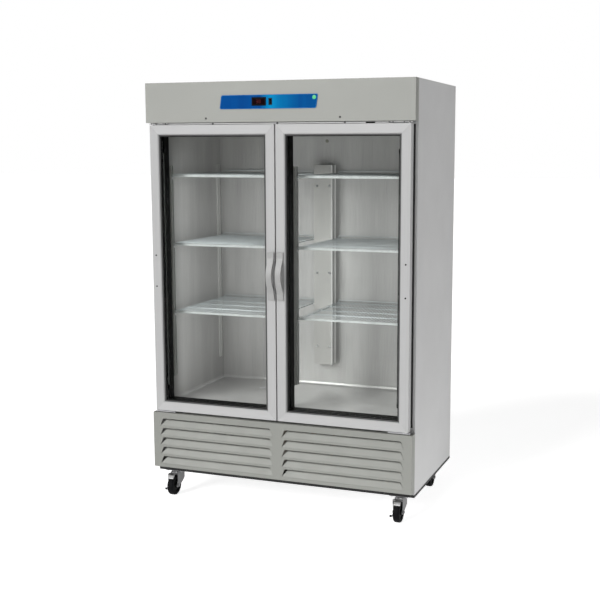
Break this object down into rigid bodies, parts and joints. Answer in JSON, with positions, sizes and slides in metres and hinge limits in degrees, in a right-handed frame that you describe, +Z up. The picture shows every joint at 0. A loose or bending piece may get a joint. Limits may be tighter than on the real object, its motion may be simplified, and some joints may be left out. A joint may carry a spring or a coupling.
{
  "type": "glass door merchandiser",
  "caption": "Upright two-section refrigerator with hinged glass doors, wire shelves, header control panel, louvered machine panel and swivel casters.",
  "frame": {"origin": "on the floor, at the centre of the overall length and depth including the door handles", "axes": "+Z up, +X to the right of a person facing the doors, the doors face -Y"},
  "size_m": [1.375, 0.794, 2.099],
  "materials": {
    "casing_steel": "satin silver-grey sheet, slight orange-peel",
    "panel_steel": "satin warm grey sheet",
    "door_steel": "finely brushed",
    "handle_metal": "satin",
    "glass": "clear, clean",
    "gasket_rubber": "matte",
    "room_steel": "brushed",
    "foam": "cellular",
    "black_plastic": "satin",
    "black_metal": "satin",
    "label_film": "glossy film",
    "copper": "bare tube",
    "aluminium": "mill",
    "zinc": "zinc plated",
    "shelf_coating": "epoxy coated wire",
    "wheel_rubber": "moulded"
  },
  "bodies": {
    "cabinet": {"outer_casing": "casing_steel", "insulation_foam": "foam", "inner_liner": "room_steel", "breaker_frame": "black_plastic", "center_mullion": "black_plastic", "front_center_post": "room_steel", "rear_center_post": "room_steel", "header_panel": "panel_steel", "control_plate": "label_film", "temperature_display": "black_plastic", "louver_panel": "panel_steel", "base_frame": "black_metal", "compressor": "black_metal", "condenser_coil": "copper", "condenser_fan_motor": "black_metal", "condensate_pan": "zinc", "evaporator_cover": "aluminium", "evaporator_coil": "aluminium", "evaporator_fan_motor": "black_metal", "left_upper_hinge": "zinc", "left_lower_hinge": "zinc", "left_front_pilaster": "room_steel", "left_rear_pilaster": "room_steel", "left_lower_shelf": "shelf_coating", "left_middle_shelf": "shelf_coating", "left_upper_shelf": "shelf_coating", "right_upper_hinge": "zinc", "right_lower_hinge": "zinc", "right_front_pilaster": "room_steel", "right_rear_pilaster": "room_steel", "right_lower_shelf": "shelf_coating", "right_middle_shelf": "shelf_coating", "right_upper_shelf": "shelf_coating", "front_left_caster_plate": "zinc", "front_right_caster_plate": "zinc", "rear_left_caster_plate": "zinc", "rear_right_caster_plate": "zinc"},
    "left_door": {"left_door_frame": "door_steel", "left_door_glass": "glass", "left_door_gasket": "gasket_rubber", "left_door_handle": "handle_metal", "left_light_bar": "black_plastic"},
    "right_door": {"right_door_frame": "door_steel", "right_door_glass": "glass", "right_door_gasket": "gasket_rubber", "right_door_handle": "handle_metal", "right_light_bar": "black_plastic"},
    "front_left_swivel": {"front_left_caster_fork": "zinc"},
    "front_left_wheel": {"front_left_caster_wheel": "wheel_rubber"},
    "front_right_swivel": {"front_right_caster_fork": "zinc"},
    "front_right_wheel": {"front_right_caster_wheel": "wheel_rubber"},
    "rear_left_swivel": {"rear_left_caster_fork": "zinc"},
    "rear_left_wheel": {"rear_left_caster_wheel": "wheel_rubber"},
    "rear_right_swivel": {"rear_right_caster_fork": "zinc"},
    "rear_right_wheel": {"rear_right_caster_wheel": "wheel_rubber"},
    "front_left_brake": {"front_left_brake_lever": "zinc"},
    "front_right_brake": {"front_right_brake_lever": "zinc"},
    "rocker": {"power_switch": "black_plastic"},
    "condenser_rotor": {"condenser_fan": "aluminium"},
    "evaporator_rotor": {"evaporator_fan": "aluminium"}
  },
  "joints": [
    {"name": "left_door_hinge", "type": "hinge", "parent": "cabinet", "child": "left_door", "pos_m": [-0.6485, -0.341, 1.178], "axis": [0, 0, -1], "range_deg": [0, 115]},
    {"name": "right_door_hinge", "type": "hinge", "parent": "cabinet", "child": "right_door", "pos_m": [0.6485, -0.341, 1.178], "axis": [0, 0, 1], "range_deg": [0, 115]},
    {"name": "front_left_caster_swivel", "type": "hinge", "parent": "cabinet", "child": "front_left_swivel", "pos_m": [-0.608, -0.266, 0.118], "axis": [0, 0, 1], "continuous": true},
    {"name": "front_left_wheel_spin", "type": "hinge", "parent": "front_left_swivel", "child": "front_left_wheel", "pos_m": [-0.608, -0.303, 0.051], "axis": [1, 0, 0], "continuous": true},
    {"name": "front_left_brake_press", "type": "hinge", "parent": "front_left_swivel", "child": "front_left_brake", "pos_m": [-0.608, -0.303, 0.051], "axis": [1, 0, 0], "range_deg": [0, 12]},
    {"name": "front_right_caster_swivel", "type": "hinge", "parent": "cabinet", "child": "front_right_swivel", "pos_m": [0.608, -0.266, 0.118], "axis": [0, 0, 1], "continuous": true},
    {"name": "front_right_wheel_spin", "type": "hinge", "parent": "front_right_swivel", "child": "front_right_wheel", "pos_m": [0.608, -0.303, 0.051], "axis": [1, 0, 0], "continuous": true},
    {"name": "front_right_brake_press", "type": "hinge", "parent": "front_right_swivel", "child": "front_right_brake", "pos_m": [0.608, -0.303, 0.051], "axis": [1, 0, 0], "range_deg": [0, 12]},
    {"name": "rear_left_caster_swivel", "type": "hinge", "parent": "cabinet", "child": "rear_left_swivel", "pos_m": [-0.608, 0.32, 0.118], "axis": [0, 0, 1], "continuous": true},
    {"name": "rear_left_wheel_spin", "type": "hinge", "parent": "rear_left_swivel", "child": "rear_left_wheel", "pos_m": [-0.608, 0.283, 0.051], "axis": [1, 0, 0], "continuous": true},
    {"name": "rear_right_caster_swivel", "type": "hinge", "parent": "cabinet", "child": "rear_right_swivel", "pos_m": [0.608, 0.32, 0.118], "axis": [0, 0, 1], "continuous": true},
    {"name": "rear_right_wheel_spin", "type": "hinge", "parent": "rear_right_swivel", "child": "rear_right_wheel", "pos_m": [0.608, 0.283, 0.051], "axis": [1, 0, 0], "continuous": true},
    {"name": "rocker_tilt", "type": "hinge", "parent": "cabinet", "child": "rocker", "pos_m": [-0.0195, -0.3599, 2.0015], "axis": [-1, 0, 0], "range_deg": [0, 10]},
    {"name": "condenser_fan_spin", "type": "hinge", "parent": "cabinet", "child": "condenser_rotor", "pos_m": [-0.08, -0.182, 0.285], "axis": [0, 1, 0], "continuous": true},
    {"name": "evaporator_fan_spin", "type": "hinge", "parent": "cabinet", "child": "evaporator_rotor", "pos_m": [0, -0.149, 1.955], "axis": [0, 1, 0], "continuous": true}
  ]
}
